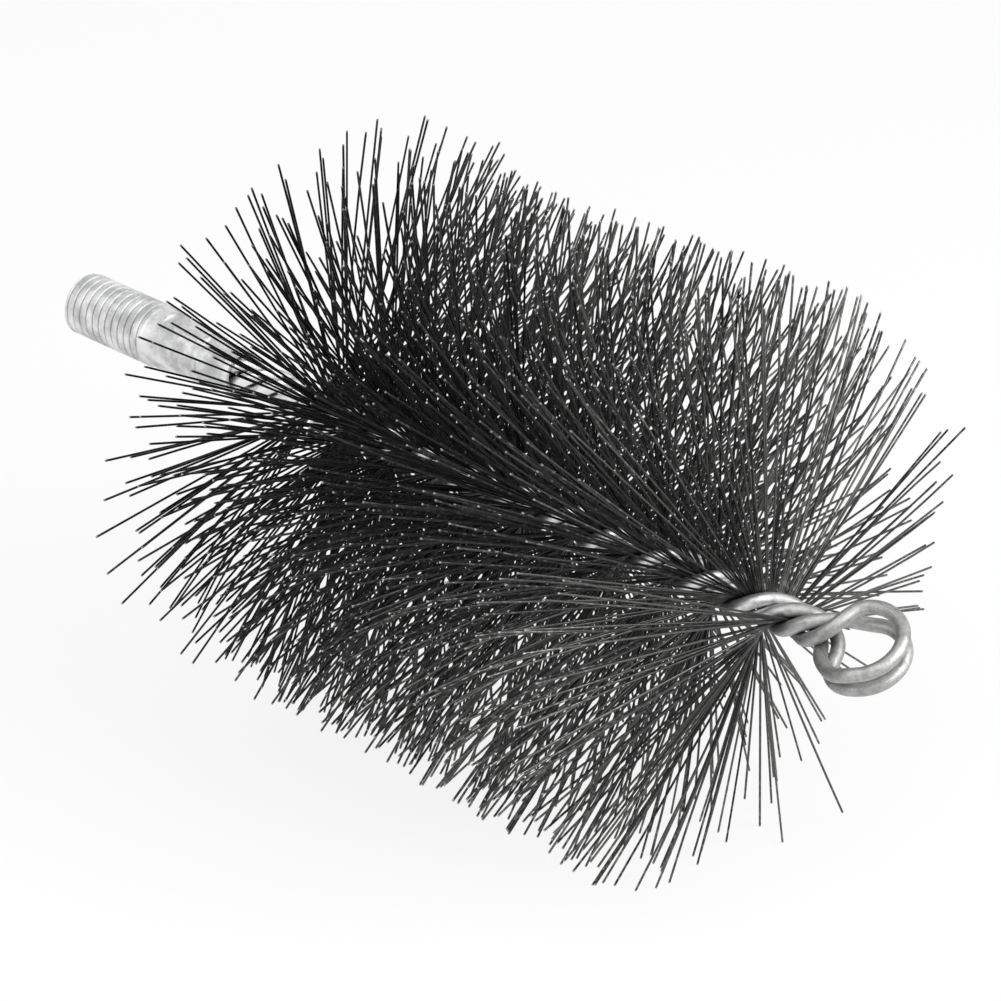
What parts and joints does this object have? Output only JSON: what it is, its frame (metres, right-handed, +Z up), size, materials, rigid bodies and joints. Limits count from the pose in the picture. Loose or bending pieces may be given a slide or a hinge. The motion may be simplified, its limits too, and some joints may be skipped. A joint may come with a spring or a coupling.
{
  "type": "flue brush head",
  "caption": "Round flue brush head of steel wire bristles in a twisted wire stem, with a looped pull eye at one end and a threaded, crimped ferrule at the other.",
  "frame": {"origin": "on the floor under the middle of the brush's length and width, the brush lying on its bristles", "axes": "+X along the stem from the threaded ferrule to the pull eye, +Z up, +Y to the left of +X"},
  "size_m": [0.2007, 0.1084, 0.1064],
  "materials": {
    "ferrule": "bright zinc plate, satin",
    "stem_wire": "drawn wire, satin",
    "bristles": "dark tempered spring steel, half gloss"
  },
  "bodies": {
    "root": {"threaded_ferrule": "ferrule", "stem_wire_upper": "stem_wire", "stem_wire_lower": "stem_wire", "bristle_slice_01": "bristles", "bristle_slice_02": "bristles", "bristle_slice_03": "bristles", "bristle_slice_04": "bristles", "bristle_slice_05": "bristles", "bristle_slice_06": "bristles", "bristle_slice_07": "bristles", "bristle_slice_08": "bristles", "bristle_slice_09": "bristles", "bristle_slice_10": "bristles", "bristle_slice_11": "bristles", "bristle_slice_12": "bristles", "bristle_slice_13": "bristles", "bristle_slice_14": "bristles", "bristle_slice_15": "bristles", "bristle_slice_16": "bristles", "bristle_slice_17": "bristles", "bristle_slice_18": "bristles", "bristle_slice_19": "bristles", "bristle_slice_20": "bristles"}
  },
  "joints": []
}
